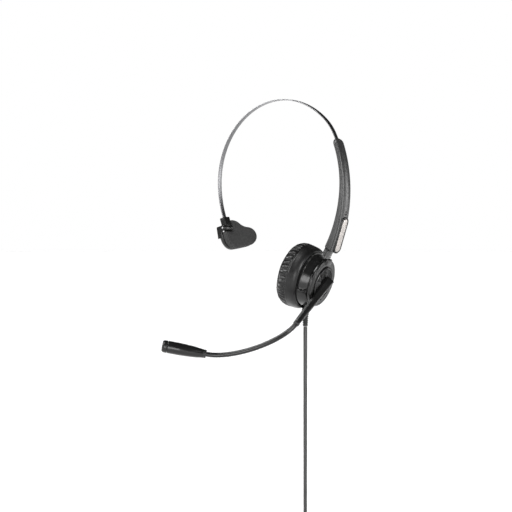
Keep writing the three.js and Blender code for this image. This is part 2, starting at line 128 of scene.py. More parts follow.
# ---------- materials ----------
class Look:
    """A Principled material with object coordinates, built up socket by socket."""

    def __init__(self, name, color, roughness, metallic=0.0, **settings):
        self.material = bpy.data.materials.new(name)
        self.material.use_nodes = True
        self.tree = self.material.node_tree
        self.shader = self.tree.nodes["Principled BSDF"]
        settings.update(Base_Color=(*color, 1), Roughness=roughness, Metallic=metallic)
        for key, value in settings.items():
            self.shader.inputs[key.replace("_", " ")].default_value = value
        self.coords = self.tree.nodes.new("ShaderNodeTexCoord").outputs["Object"]
        self.height = None

    def node(self, kind, **inputs):
        made = self.tree.nodes.new(kind)
        for key, value in inputs.items():
            socket = made.inputs[key.replace("_", " ")]
            if isinstance(value, bpy.types.NodeSocket):
                self.tree.links.new(value, socket)
            else:
                socket.default_value = value
        return made

    def noise(self, scale, detail=3, vector=None):
        made = self.node("ShaderNodeTexNoise", Scale=scale, Detail=detail,
                         Vector=vector or self.coords)
        return made.outputs["Fac"]

    def cells(self, scale):
        made = self.node("ShaderNodeTexVoronoi", Scale=scale, Vector=self.coords)
        return made.outputs["Distance"]

    def ramp(self, value, low, high, first=(0, 0, 0), last=(1, 1, 1)):
        made = self.node("ShaderNodeValToRGB", Fac=value)
        for element, place, color in zip(made.color_ramp.elements, (low, high), (first, last)):
            element.position, element.color = place, (*color, 1)
        return made.outputs["Color"]

    def spread(self, value, low, high):
        """value, which runs from 0.3 to 0.7, brought to run from low to high."""
        made = self.node("ShaderNodeMapRange", Value=value, To_Min=low, To_Max=high,
                         From_Min=0.3, From_Max=0.7)
        return made.outputs["Result"]

    def into(self, socket, value):
        self.tree.links.new(value, self.shader.inputs[socket])
        return self

    def bump(self, height, strength, distance):
        made = self.node("ShaderNodeBump", Height=height, Strength=strength, Distance=distance)
        if self.height is not None:
            self.tree.links.new(self.height, made.inputs["Normal"])
        self.height = made.outputs["Normal"]
        return self.into("Normal", self.height)


def grey(shade):
    return (shade, shade, shade)


def moulded(name, dark, light, low, high, grain, depth, shine=0.2):
    """Moulded plastic between two shades of grey, with roughness from low to high and a grain."""
    look = Look(name, grey(dark), (low + high) / 2, Specular_IOR_Level=shine)
    cloud = look.noise(55, 4)
    look.into("Base Color", look.ramp(cloud, 0.35, 0.7, grey(dark), grey(light)))
    look.into("Roughness", look.spread(look.noise(160, 5), low, high))
    look.bump(look.noise(grain, 2), 0.25, depth)
    return look.material


gloss = moulded("gloss_black_plastic", 0.003, 0.005, 0.16, 0.26, 900, 0.00002)
arm_gloss = moulded("arm_black_plastic", 0.008, 0.013, 0.30, 0.40, 1500, 0.00003, 0.4)
satin = moulded("satin_black_plastic", 0.007, 0.012, 0.4, 0.52, 2400, 0.00004)
rubber = moulded("black_rubber", 0.002, 0.004, 0.24, 0.32, 1800, 0.00003)
jacket = moulded("cord_jacket", 0.002, 0.004, 0.26, 0.34, 1200, 0.00002, 0.35)


def leatherette():
    """Coated fabric with a pebbled grain over soft unevenness."""
    look = Look("black_leatherette", grey(0.004), 0.4, Specular_IOR_Level=0.15)
    shade = look.noise(120, 4)
    look.into("Base Color", look.ramp(shade, 0.35, 0.7, grey(0.002), grey(0.006)))
    look.into("Roughness", look.spread(look.noise(420, 3), 0.28, 0.42))
    look.bump(look.cells(1500), 0.35, 0.00006)
    look.bump(look.noise(260, 3), 0.25, 0.00012)
    return look.material


def foam():
    """Open foam: dark pores in a dull, slightly uneven face."""
    look = Look("grey_black_foam", grey(0.03), 0.9, Specular_IOR_Level=0.2)
    pores = look.cells(1900)
    look.into("Base Color", look.ramp(pores, 0.1, 0.75, grey(0.008), grey(0.019)))
    look.into("Roughness", look.spread(look.noise(500, 3), 0.82, 0.97))
    look.bump(pores, 0.6, 0.00012)
    look.bump(look.noise(220, 4), 0.3, 0.0002)
    return look.material


def brushed(name, color, low, high, scale, ridge=0.2):
    """Metal with fine lines along one direction, given as a stretch of the coordinates."""
    look = Look(name, color, (low + high) / 2, 1.0)
    stretched = look.node("ShaderNodeMapping", Vector=look.coords, Scale=scale)
    lines = look.noise(1.0, 3, stretched.outputs["Vector"])
    dark = tuple(0.72 * c for c in color)
    look.into("Base Color", look.ramp(lines, 0.3, 0.75, dark, color))
    look.into("Roughness", look.spread(lines, low, high))
    look.bump(lines, ridge, 0.00002)
    return look.material


steel = brushed("brushed_spring_steel", (0.13, 0.13, 0.134), 0.3, 0.34, (25, 3000, 25), 0.04)
bright = brushed("bright_steel", (0.62, 0.62, 0.63), 0.16, 0.3, (900, 900, 900))
silver = brushed("silver_plate", (0.34, 0.32, 0.305), 0.34, 0.48, (2500, 300, 300))
brass = brushed("gilt_contact", (0.83, 0.62, 0.28), 0.16, 0.28, (400, 400, 3500))


def woven(name, dark, light, scale, depth):
    """A plain weave: two sets of rounded threads that cross."""
    look = Look(name, grey(dark), 0.85, Sheen_Weight=0.2, Sheen_Roughness=0.6)
    threads = []
    for direction in ("X", "Z"):
        wave = look.node("ShaderNodeTexWave", Scale=scale, Distortion=0.6,
                         Vector=look.coords, Detail=1.0)
        wave.bands_direction = direction
        threads.append(wave.outputs["Fac"])
    cross = look.tree.nodes.new("ShaderNodeMath")
    cross.operation = "MAXIMUM"
    look.tree.links.new(threads[0], cross.inputs[0])
    look.tree.links.new(threads[1], cross.inputs[1])
    look.into("Base Color", look.ramp(cross.outputs[0], 0.2, 0.9, grey(dark), grey(light)))
    look.into("Roughness", look.spread(look.noise(300, 2), 0.75, 0.95))
    look.bump(cross.outputs[0], 0.6, depth)
    return look.material


cloth = woven("speaker_weave", 0.008, 0.03, 700, 0.0001)
strap_weave = woven("tie_weave", 0.010, 0.034, 500, 0.00012)


# ---------- mesh helpers ----------
def smoothed(mesh, crease=35):
    """Shades a mesh smooth, but sharp where faces meet at more than crease degrees."""
    for polygon in mesh.polygons:
        polygon.use_smooth = True
    mesh.set_sharp_from_angle(angle=rad(crease))


def solid(name, verts, faces, place=ROW, material=None, crease=30):
    """An object from points in millimetres in the frame place."""
    mesh = bpy.data.meshes.new(name)
    mesh.from_pydata([(place @ Vector(v)) * MM for v in verts], [], faces)
    made = linked(name, mesh)
    if material:
        mesh.materials.append(material)
    work = bmesh.new()
    work.from_mesh(mesh)
    bmesh.ops.remove_doubles(work, verts=work.verts, dist=1e-7)
    bmesh.ops.recalc_face_normals(work, faces=work.faces)
    work.to_mesh(mesh)
    work.free()
    smoothed(mesh, crease)
    return made


def repaint(mesh, material):
    mesh.materials.clear()
    mesh.materials.append(material)


def belongs(made, body, slot, *replaces):
    """Puts a piece on its body and hides the nodes it stands for; slot is not used."""
    if body:
        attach(made, body)
    if replaces:
        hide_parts(*replaces)


def piece(name, verts, faces, material, body, slot, replaces=(), place=ROW, crease=35):
    """A visible piece from points in millimetres in the frame place."""
    made = solid(name, verts, faces, place, material, crease)
    belongs(made, body, slot, *replaces)
    return made


def carve(made, *tools):
    """Cuts the tools, which are solids, out of a mesh and removes them."""
    for tool in tools:
        change = made.modifiers.new("cut", "BOOLEAN")
        change.operation = "DIFFERENCE"
        change.solver = "MANIFOLD"
        change.object = tool
    bpy.context.view_layer.update()
    shape = bpy.data.meshes.new_from_object(made.evaluated_get(
        bpy.context.evaluated_depsgraph_get()))
    made.modifiers.clear()
    made.data = shape
    for tool in tools:
        bpy.data.objects.remove(tool)
    smoothed(shape)


def cut_below(made, z):
    """Cuts away what lies below a height and closes the cut."""
    work = bmesh.new()
    work.from_mesh(made.data)
    parts = list(work.verts) + list(work.edges) + list(work.faces)
    cut = bmesh.ops.bisect_plane(work, geom=parts, plane_co=Vector((0, 0, z)) * MM,
                                 plane_no=Vector((0, 0, 1)), clear_inner=True, dist=1e-8)
    edges = [g for g in cut["geom_cut"] if isinstance(g, bmesh.types.BMEdge)]
    bmesh.ops.edgeloop_fill(work, edges=edges)
    work.to_mesh(made.data)
    work.free()
    smoothed(made.data)


def cutter(profile, place, sides=32):
    """A plain turned solid that is only used to cut another one."""
    return solid("cutter", *turned(profile, sides, 0), place)


AXIS = (0, 0)


def circle(r, sides):
    return [polar(AXIS, r, TAU * i / sides) for i in range(sides)]


def rings_on(line, sides):
    """A ring of points for each (r, z) of a line."""
    return [[(x, y, z) for x, y in circle(r, sides)] for r, z in line]


def grid(rings, close_first=True, close_last=True):
    """Vertices and faces from rings of equal length, joined one to the next."""
    n = len(rings[0])
    verts = [tuple(p) for ring in rings for p in ring]
    faces = []
    for i in range(len(rings) - 1):
        for j in range(n):
            a, b = i * n + j, i * n + (j + 1) % n
            faces.append((a, b, b + n, a + n))
    if close_first:
        faces.append(tuple(range(n)))
    if close_last:
        faces.append(tuple(range((len(rings) - 1) * n, len(rings) * n)))
    return verts, faces


def rounded(profile, radius):
    """A profile of (r, z) points with each inner corner rounded to about radius."""
    steps = 4
    out = [profile[0]]
    for before, here, after in zip(profile, profile[1:], profile[2:]):
        p, q, s = (Vector(v) for v in (before, here, after))
        cut = min(radius, 0.45 * (p - q).length, 0.45 * (s - q).length)
        start, end = q + (p - q).normalized() * cut, q + (s - q).normalized() * cut
        for i in range(steps + 1):
            t = i / steps
            out.append(tuple((1 - t) ** 2 * start + 2 * t * (1 - t) * q + t * t * end))
    out.append(profile[-1])
    return out


def turned(profile, sides, radius):
    """A solid of revolution about Z, with the profile's corners rounded."""
    return grid(rings_on(rounded(profile, radius) if radius else profile, sides))


def sweep(path, section, start_side=None):
    """A section of (a, b) points carried along a path of points without twisting."""
    points = [Vector(p) for p in path]
    side = Vector(start_side) if start_side else None
    rings = []
    for i, p in enumerate(points):
        ahead = (points[min(i + 1, len(points) - 1)] - points[max(i - 1, 0)]).normalized()
        if side is None:
            side = ahead.orthogonal()
        side = (side - ahead * side.dot(ahead)).normalized()
        other = ahead.cross(side)
        rings.append([p + side * a + other * b for a, b in section])
    return grid(rings)


def box_section(width, height, corner):
    """A rounded rectangle of (a, b) points, width along a."""
    steps = 4
    out = []
    for quarter, (sx, sy) in enumerate(((1, 1), (-1, 1), (-1, -1), (1, -1))):
        for i in range(steps + 1):
            a = math.pi / 2 * (quarter + i / steps)
            out.append(polar((sx * (width / 2 - corner), sy * (height / 2 - corner)), corner, a))
    return out


def joined(parts):
    """Several meshes as one, each with its vertices and faces."""
    verts, faces = [], []
    for v, f in parts:
        faces += [tuple(i + len(verts) for i in face) for face in f]
        verts += v
    return verts, faces


# ---------- cord: straight down, then a tied coil and the plug ----------
# RELIEF is the lower end of the strain relief, where the cord comes out.
RELIEF, RELIEF_TOP_Z = Vector((45.7, -2.25, -33.8)), -21.8
CORD_R, COIL_R, COIL_Z, COIL_SIDE = 1.5, 16.5, -245.0, 8.0
coil_centre = Vector((RELIEF.x - COIL_SIDE, RELIEF.y, COIL_Z))
exit_at = RELIEF - Vector((0, 0, 0.3))

# Where each turn starts in the bundle, outwards and across, in units of STRAND.
STRAND = 3.95
PLACES = [(1, 0), (0.7, 0.7), (0, 1), (-0.7, 0.7), (-1, 0), (0, 0), (0.7, -0.7), (-0.7, -0.7),
          (0, -1), (0, -1)]
TURNS, TURN_STEPS, FIRST_ANGLE = len(PLACES) - 1, 24, rad(38)
STRAIGHT_STEPS = (0, 8, 20, 45, 75, 105, 135, 160, 175, 185)
TAIL_ACROSS = 9.7


def cord_points():
    """Straight down from the relief, round the coil's turns and down into the plug."""
    points = [exit_at - Vector((0, 0, d)) for d in STRAIGHT_STEPS]
    for i in range(TURNS * TURN_STEPS + 1):
        turn, part = divmod(i, TURN_STEPS)
        share = smooth(2 * part / TURN_STEPS - 1)
        here, after = PLACES[turn], PLACES[min(turn + 1, TURNS)]
        out, across = (STRAND * (p + (q - p) * share) for p, q in zip(here, after))
        angle = FIRST_ANGLE - TAU * i / TURN_STEPS
        x, z = polar((coil_centre.x, coil_centre.z), COIL_R + out, angle)
        points.append(Vector((x, coil_centre.y + across, z)))
    x, y = coil_centre.x + COIL_R, RELIEF.y - TAIL_ACROSS
    for dx, py, dz in ((-0.4, y + 4.5, 4.6), (0, y + 1.6, -0.5), (0, y, -5), (0, y, -8)):
        points.append(Vector((x + dx, py, COIL_Z + dz)))
    return points


def cord_curve():
    """The cord as a round curve whose handles follow the points to each side."""
    reach = 0.34
    curve = bpy.data.curves.new("cord", "CURVE")
    curve.dimensions = "3D"
    curve.bevel_depth = CORD_R * MM
    curve.bevel_resolution = 4
    curve.use_fill_caps = True
    curve.resolution_u = 6
    points = cord_points()
    spline = curve.splines.new("BEZIER")
    spline.bezier_points.add(len(points) - 1)
    for i, p in enumerate(points):
        knot = spline.bezier_points[i]
        before, after = points[max(i - 1, 0)], points[min(i + 1, len(points) - 1)]
        ahead = (after - before).normalized()
        knot.co = p * MM
        knot.handle_left_type = knot.handle_right_type = "FREE"
        knot.handle_left = (p - ahead * (p - before).length * reach) * MM
        knot.handle_right = (p + ahead * (after - p).length * reach) * MM
    curve.materials.append(jacket)
    return linked("cord", curve)


cord = cord_curve()
belongs(cord, "ear_cup", "rubber_black", "cord_lead", "cord_coil", "cord_tail")


# ---------- headband strap and clip ----------
CROWN, CROWN_R = (20.3, 75.8), 63.0
SLOT = (slot_centre.x, slot_centre.z)
BEND_R, FLARE_R = 40.0, 75.0
STRAP_FROM, STRAP_TO = rad(-3), rad(204)
STRAP_WIDTH, STRAP_THICK = 4.0, 0.8


def bend_centre():
    """The centre of the bend between the strap's part in the arm and its crown."""
    a, b = SLOT_R - BEND_R, CROWN_R - BEND_R
    dx, dz = CROWN[0] - SLOT[0], CROWN[1] - SLOT[1]
    d = math.hypot(dx, dz)
    along = (a * a - b * b + d * d) / (2 * d)
    across = math.sqrt(a * a - along * along)
    return (SLOT[0] + (along * dx - across * dz) / d, SLOT[1] + (along * dz + across * dx) / d)


def strap_path():
    """The strap's middle line: arcs through the arm, the bend, the crown and the flared end."""
    bend = bend_centre()
    to_bend = math.atan2(bend[1] - SLOT[1], bend[0] - SLOT[0])
    to_crown = math.atan2(bend[1] - CROWN[1], bend[0] - CROWN[0])
    flare = (CROWN[0] + FLARE_R - CROWN_R, CROWN[1])
    arcs = [(SLOT, SLOT_R, STRAP_FROM, to_bend, 60), (bend, BEND_R, to_bend, to_crown, 24),
            (CROWN, CROWN_R, to_crown, math.pi, 110), (flare, FLARE_R, math.pi, STRAP_TO, 24)]
    path = []
    for centre, r, start, end, steps in arcs:
        for i in range(1 if path else 0, steps + 1):
            x, z = polar(centre, r, start + (end - start) * i / steps)
            path.append((x, 0, z))
    return path


strap_mesh = sweep(strap_path(), box_section(STRAP_WIDTH, STRAP_THICK, 0.36), SIDEWAYS)
piece("headband_strap_steel", *strap_mesh, steel, "headband", "steel", ["headband_strap"])


def strap_clip():
    """The clip's own CAD shape with its edges rounded, in place of the node."""
    crease, bevel = 40, 0.45
    made = linked("strap_clip_finished", nodes["strap_clip"].data.copy())
    work = bmesh.new()
    work.from_mesh(made.data)
    bmesh.ops.remove_doubles(work, verts=work.verts, dist=1e-6)
    bmesh.ops.dissolve_limit(work, angle_limit=rad(2), verts=work.verts, edges=work.edges)
    sharp = [e for e in work.edges if len(e.link_faces) == 2 and e.calc_face_angle() > rad(crease)]
    bmesh.ops.bevel(work, geom=sharp, offset=bevel * MM, segments=3, profile=0.5,
                    affect="EDGES", clamp_overlap=True)
    work.to_mesh(made.data)
    work.free()
    repaint(made.data, gloss)
    smoothed(made.data, crease)
    belongs(made, "headband", "gloss_black", "strap_clip")


strap_clip()


# ---------- temple pad: foam, shell and hinge ears ----------
# The pad is curved about an upright axis: PAD_AXIS_X is how far that lies inwards.
PAD_AXIS_X, PAD_MIDDLE_Y = 56.5, 7.0
BIG, BIG_R, SMALL, SMALL_R = Vector((7.2, -6)), 11.5, Vector((21.4, -8.2)), 7.6
NOTCH = Vector((5.9, -3.7))
TOP_ROUND, LEFT_ROUND, NOTCH_ROUND, ROUND_DEGREES = 1.2, 1.6, 2.2, 7
HEART = Vector((12.5, -8.5))
EAR_AT, KNUCKLE_R = 4.3, 2.3


def quadratic(a, b, c, steps):
    """The inner points of a quadratic curve from a to c that is drawn towards b."""
    return [(1 - t) ** 2 * a + 2 * t * (1 - t) * b + t * t * c
            for t in (i / steps for i in range(1, steps))]


def arc(centre, r, start, end, steps):
    """Points on an arc between two angles in degrees."""
    return [centre + r * Vector((math.cos(rad(start + (end - start) * i / steps)),
                                 math.sin(rad(start + (end - start) * i / steps))))
            for i in range(steps + 1)]


def bean_outline(grow=0.0):
    """The pad's outline in y and z: a big lobe with a notch for the clip, and a small one."""
    big, small = BIG_R + grow, SMALL_R + grow
    up_side, across = NOTCH - BIG
    top = Vector((NOTCH.x, BIG.y + math.sqrt(big * big - up_side * up_side)))
    left = Vector((BIG.x - math.sqrt(big * big - across * across), NOTCH.y))
    top_angle = math.degrees(math.atan2(top.y - BIG.y, top.x - BIG.x)) - ROUND_DEGREES
    left_angle = math.degrees(math.atan2(left.y - BIG.y, left.x - BIG.x)) + ROUND_DEGREES
    crest = arc(BIG, big, top_angle, 52, 12)
    points = quadratic(top + Vector((0, -TOP_ROUND)), top, crest[0], 6) + crest
    bridge = SMALL + Vector((-4, small + 1))
    lobe = arc(SMALL, small, 86, -82, 32)
    points += quadratic(points[-1], bridge, lobe[0], 12) + lobe
    under = arc(BIG, big, 268, left_angle, 36)
    points += quadratic(lobe[-1], (lobe[-1] + under[0]) / 2 + Vector((0, -0.25)), under[0], 12)
    points += under
    points += quadratic(under[-1], left, left + Vector((LEFT_ROUND, 0)), 6)
    floor_length = NOTCH.x - NOTCH_ROUND - left.x - LEFT_ROUND
    points += [left + Vector((LEFT_ROUND + floor_length * t, 0)) for t in (0, 0.3, 0.6, 1)]
    points += quadratic(NOTCH + Vector((-NOTCH_ROUND, 0)), NOTCH, NOTCH + Vector((0, NOTCH_ROUND)), 6)
    wall_length = top.y - TOP_ROUND - NOTCH_ROUND - NOTCH.y
    points += [NOTCH + Vector((0, NOTCH_ROUND + wall_length * t)) for t in (0, 0.5, 1)]
    return points[::-1]


def pad_point(y, z, rho):
    """A point of the pad at radius rho from the axis that it is curved about."""
    return PAD_AXIS_X - math.sqrt(rho * rho - (y - PAD_MIDDLE_Y) ** 2), y, z


def shrunk(outline, inset):
    """The outline moved inwards along its own normals."""
    n = len(outline)
    out = []
    for i, p in enumerate(outline):
        ahead = (outline[(i + 1) % n] - outline[i - 1]).normalized()
        out.append(p + Vector((-ahead.y, ahead.x)) * inset)
    return out


def layered(levels, grow=0.0, dome=0.0):
    """Rings of the pad's outline from pairs of inset and radius, closed towards its heart."""
    outline = bean_outline(grow)
    rings = []
    for inset, rho in levels:
        rings.append([pad_point(p.x, p.y, rho) for p in shrunk(outline, inset)])
    last, rho = shrunk(outline, levels[-1][0]), levels[-1][1]
    for share in (0.12, 0.26, 0.42, 0.6, 0.78, 0.93):
        crown = rho - dome * math.sin(share * math.pi / 2)
        rings.append([pad_point(*(p + (HEART - p) * share), crown) for p in last])
    return grid(rings)


FOAM_EDGE = [(0.9, 57.9), (0.15, 57.85), (0, 57.5), (0, 56.2), (0.12, 55.2), (0.45, 54.4),
             (0.95, 53.9), (1.6, 53.62), (2.3, 53.5)]
PLATE_EDGE = [(0.9, 58.25), (0.25, 58.3), (0, 58.6), (0, 60.2), (0.15, 61.0), (0.6, 61.6),
              (1.4, 61.9), (2.3, 62.0)]


foam_pad = piece("temple_pad_foam", *layered(FOAM_EDGE, 0, 0.5), foam(), "temple_pad", "pad_foam",
                 ["pad_foam"], PAD, crease=60)
piece("pad_shell", *layered(PLATE_EDGE, 0.4), gloss, "temple_pad", "gloss_black",
      ["pad_backplate"], PAD, crease=50)


def ear(side):
    """One of the two lugs that reach from the shell to the hinge pin."""
    place = frame_of(PAD @ Vector((0, side * EAR_AT, 0)), pad_in, pad_up, -SIDEWAYS)
    web = -0.9 if side < 0 else -1.7
    outline = [(-5.6, -8.6), (web, -8.6), (web + 0.1, -5.4), (-0.4, -3.3)]
    outline += [polar((PIN_IN, PIN_UP), KNUCKLE_R, rad(a)) for a in range(-90, 121, 15)]
    outline += [(-2.4, 1.0), (-5.0, 0.9), (-5.5, 0.2)]
    rings = []
    for depth, inset in ((-0.8, 0.3), (-0.62, 0.08), (-0.4, 0), (0.4, 0), (0.62, 0.08), (0.8, 0.3)):
        ring = shrunk([Vector(p) for p in outline], inset)
        rings.append([(p.x, p.y, depth) for p in ring])
    made = solid("pad_hinge_ear_" + ("front" if side < 0 else "rear"), *grid(rings), place, gloss)
    at_pin = frame_of(PAD @ Vector((PIN_IN, side * EAR_AT, PIN_UP)), pad_in, pad_up, -SIDEWAYS)
    carve(made, cutter([(0, -3), (1.05, -3), (1.05, 3), (0, 3)], at_pin))
    belongs(made, "temple_pad", "gloss_black", "pad_backplate")


ear(-1)
ear(1)


# ---------- slider arm ----------
ARM_OUT, ARM_OUT_R = (-17.5, 68.7), 101.2
ARM_IN_R, SEAM_ANGLE = 78.0, rad(-7)
LOW_IN_SHIFT = 18
LOW_IN = polar(SLOT, -LOW_IN_SHIFT, SEAM_ANGLE)
LOW_IN_R = ARM_IN_R + LOW_IN_SHIFT
ARM_TOP, ARM_BOTTOM, ARM_WIDTH, ARM_STEPS = rad(24.5), rad(-46), 9.5, 250
# Below LIP_ANGLE the arm narrows to a neck with a collar, and ends level at FOOT_Y.
LIP_ANGLE, LIP_LENGTH, FOOT_Y = rad(-35.6), 1.8, 19.6
NECK_NARROWER, NECK_THICK = 2.4, 5.6
COLLAR_AT, COLLAR_RISE, COLLAR_WIDER = 6.2, 0.35, 0.8
GROOVE_HALF, GROOVE_DEPTH = 0.34, 0.45
BADGE_ANGLE, BADGE_HALF, THUMB_AT = rad(-19.5), 10.3, 17.3
SCREW_ANGLES = (rad(-13), rad(-28))
ball = Vector(joints["cup_turn"]["pos_m"]) / MM


def along_ray(angle, centre, r):
    """How far from the slot's centre a ray at that angle meets a circle."""
    dx, dz = SLOT[0] - centre[0], SLOT[1] - centre[1]
    b = dx * math.cos(angle) + dz * math.sin(angle)
    return -b + math.sqrt(b * b - dx * dx - dz * dz + r * r)


def arm_section(width, thick):
    """The arm's outline: a crowned outer face, a seam groove down each side and a flat inside."""
    crown = 0.8
    h = width / 2
    outer = min(1.1, 0.45 * h, 0.3 * thick)
    inner = min(1.9, 0.6 * h, 0.4 * thick)
    half = []
    for i in range(7):
        y = (h - outer) * i / 6
        half.append((y, thick - crown * (y / h) ** 2))
    top = half[-1][1] - outer
    for i in range(1, 6):
        half.append((h - outer + outer * math.sin(rad(18 * i)), top + outer * math.cos(rad(18 * i))))
    groove = max(top - 0.55, 0.55 * top)
    half += [(h, groove + GROOVE_HALF), (h - 0.1, groove + GROOVE_HALF - 0.1),
             (h - GROOVE_DEPTH, groove),
             (h - 0.1, groove - GROOVE_HALF + 0.1), (h, groove - GROOVE_HALF)]
    half += [(h + 0.1 * math.sin(math.pi * t), groove + (inner - groove) * t)
             for t in (0.25, 0.5, 0.75)]
    for i in range(7):
        half.append((h - inner + inner * math.cos(rad(15 * i)), inner - inner * math.sin(rad(15 * i))))
    half += [((h - inner) * t, 0) for t in (0.66, 0.33, 0)]
    return half + [(-y, r) for y, r in reversed(half[1:-1])]


def arm_station(angle):
    """Inner radius, width and thickness of the arm at an angle round the slot's centre."""
    low = along_ray(angle, LOW_IN, LOW_IN_R) if angle < SEAM_ANGLE else ARM_IN_R
    high = along_ray(angle, ARM_OUT, ARM_OUT_R)
    width = ARM_WIDTH
    reach = (ARM_TOP - angle) * SLOT_R
    if reach < ARM_WIDTH / 2:
        over = 1 - reach / (ARM_WIDTH / 2)
        width *= math.sqrt(max(0.02, 1 - over ** 2))
        high -= 1.6 * over ** 3
        low += 0.5 * over ** 3
    past_lip = (LIP_ANGLE - angle) * SLOT_R
    neck = smooth(past_lip / LIP_LENGTH)
    width -= NECK_NARROWER * neck
    high -= (high - low - NECK_THICK) * neck
    collar = smooth(past_lip - COLLAR_AT)
    rise = COLLAR_RISE * collar
    return low - rise, width + COLLAR_WIDER * collar, high - low + 2 * rise


def arm_point(angle, index):
    """A point of the arm's surface: the place along it and the index round its section."""
    low, width, thick = arm_station(angle)
    y, r = arm_section(width, thick)[index]
    x, z = polar(SLOT, low + r, angle)
    return Vector((x, y, z))


def foot_angle(index):
    """The angle at which one line along the arm meets the level of the foot."""
    low, high = ARM_BOTTOM, rad(-34)
    for _ in range(24):
        middle = (low + high) / 2
        if (arm_point(middle, index) - pivot).dot(up) > FOOT_Y:
            high = middle
        else:
            low = middle
    return high


def arm_cover():
    """The arm's outside from the level foot to its rounded top."""
    angles = [ARM_BOTTOM + (ARM_TOP - ARM_BOTTOM) * i / ARM_STEPS for i in range(ARM_STEPS)]
    angles += [ARM_TOP - rad(0.12), ARM_TOP - rad(0.03)]
    count = len(arm_section(ARM_WIDTH, 6.0))
    ends = [foot_angle(j) for j in range(count)]
    angles = [min(ends) - 1e-5] + [a for a in angles if a > min(ends)]
    return grid([[arm_point(max(a, ends[j]), j) for j in range(count)] for a in angles])


def slot_cutter(r0, r1, a0, a1, width):
    """A cutter that follows the strap's arc between two radii and two angles."""
    steps = 30
    path = [polar(SLOT, (r0 + r1) / 2, a0 + (a1 - a0) * i / steps) for i in range(steps + 1)]
    section = box_section(width, r1 - r0, 0.15)
    return solid("cutter", *sweep([(x, 0, z) for x, z in path], section, SIDEWAYS))


def radial_frame(centre, r, angle):
    """A frame on a circle in the arm's middle plane, with Z pointing outwards."""
    out = Vector((math.cos(angle), 0, math.sin(angle)))
    x, z = polar(centre, r, angle)
    return frame_of(Vector((x, 0, z)), SIDEWAYS.cross(out), SIDEWAYS, out)


def badge_turn(u):
    """The angle on the arm's outer face at u mm along it from the badge's middle."""
    return BADGE_ANGLE + u / ARM_OUT_R


def arm():
    """The arm in one piece, with its track, strap mouth, screw holes, socket and thumb dent."""
    made = solid("slider_arm_cover", *arm_cover(), ROW, arm_gloss, 35)
    track = slot_cutter(79.2, 81.5, rad(-7.5), rad(22), 6)
    mouth = slot_cutter(79.25, 80.75, rad(21.5), rad(34), 4.9)
    hole = [(0, -6), (2.2, -6), (2.2, 0.2), (1.3, 0.4), (1.3, 4.6), (0, 4.6)]
    holes = [cutter(hole, radial_frame(SLOT, ARM_IN_R + 1, angle)) for angle in SCREW_ANGLES]
    cavity = [(0, -2.9), (1.6, -2.4), (2.5, -0.8), (2.5, 0.8), (1.6, 2.2), (0, 2.6)]
    socket = cutter(cavity, frame_of(ball, rear, normal, -up))
    dent = [(0, -1.1), (0.9, -0.9), (1.7, 0), (2.2, 1.6), (0, 1.6)]
    thumb = cutter(dent, radial_frame(ARM_OUT, ARM_OUT_R, badge_turn(THUMB_AT)), 40)
    carve(made, track, mouth, socket, thumb, *holes)
    belongs(made, "slider_arm", "gloss_black", "arm_outer_shell", "arm_inner_shell", "arm_foot")


def badge_point(u, v, h):
    """A point u along, v across and h above the arm's outer face, from the badge's middle."""
    x, z = polar(ARM_OUT, ARM_OUT_R + h, badge_turn(u))
    return x, v, z


def pill(levels):
    """Rings of a pill outline on the arm's outer face, from pairs of end radius and height."""
    rings = []
    for r, h in levels:
        ring = []
        for side in (1, -1):
            for i in range(25):
                a = math.pi * i / 24
                ring.append(badge_point(side * (BADGE_HALF + r * math.sin(a)),
                                        side * r * math.cos(a), h))
        rings.append(ring)
    return grid(rings)


arm()
bezel = [(4.1, -1.2), (4.1, 0.1), (4.0, 0.5), (3.8, 0.7), (3.3, 0.7), (3.05, 0.5),
         (2.95, 0.1), (0.3, 0.1)]
plate = [(2.5, 0.15), (2.62, 0.25), (2.62, 0.6), (2.56, 0.74), (2.4, 0.82), (1.8, 0.88),
         (0.9, 0.92), (0.15, 0.93)]
piece("badge_bezel", *pill(bezel), gloss, "slider_arm", "gloss_black")
piece("badge_plate", *pill(plate), silver, "slider_arm", "silver_badge", ["arm_badge"], crease=50)


# ---------- ear cup: pivot disc, neck, hub, drum ----------
dish = [(0, -4.6), (14.2, -4.6), (14.2, -3), (18.0, -3), (18.6, -2.4), (18.6, -1.3), (18.2, -0.5),
        (17.4, -0.1), (16.6, 0), (16.5, -0.2), (16.1, -0.2), (16.0, 0), (13.9, 0), (13.4, -0.2),
        (12.9, -0.6), (12.85, -2.3), (6, -2.3), (6, -3.1), (0, -3.1)]
piece("pivot_disc", *turned(dish, 160, 0.35), gloss, "ear_cup", "gloss_black",
      ["pivot_housing"], CUP)


# The swivel's stud stands in the neck at STUD_Z; the dish is hollow inside RECESS_R.
NECK_Z, STUD_Z, RECESS_R = -1.1, -2.2, 12.9


def neck_block():
    """The neck that rises from the disc, with a flared bore for the swivel's stud."""
    rings = []
    for y, width, thick in ((14.4, 9.6, 3.0), (15.6, 9.2, 3.6), (17.2, 8.2, 4.0),
                            (18.3, 7.8, 4.1), (18.75, 7.4, 3.7), (18.9, 6.6, 3.0)):
        rings.append([(a, y, b + NECK_Z) for a, b in box_section(width, thick, 1.2)])
    made = solid("pivot_neck", *grid(rings), CUP, gloss)
    recess = cutter([(0, -9), (RECESS_R, -9), (RECESS_R, 9), (0, 9)], CUP, 96)
    flared = [(0, -6), (2.1, -6), (2.1, 0.2), (1.55, 2.6), (1.55, 6), (0, 6)]
    stud_frame = frame_of(CUP @ Vector((0, 16, STUD_Z)), rear, -normal, up)
    carve(made, cutter(flared, stud_frame), recess)
    belongs(made, "ear_cup", "gloss_black", "pivot_housing")


neck_block()

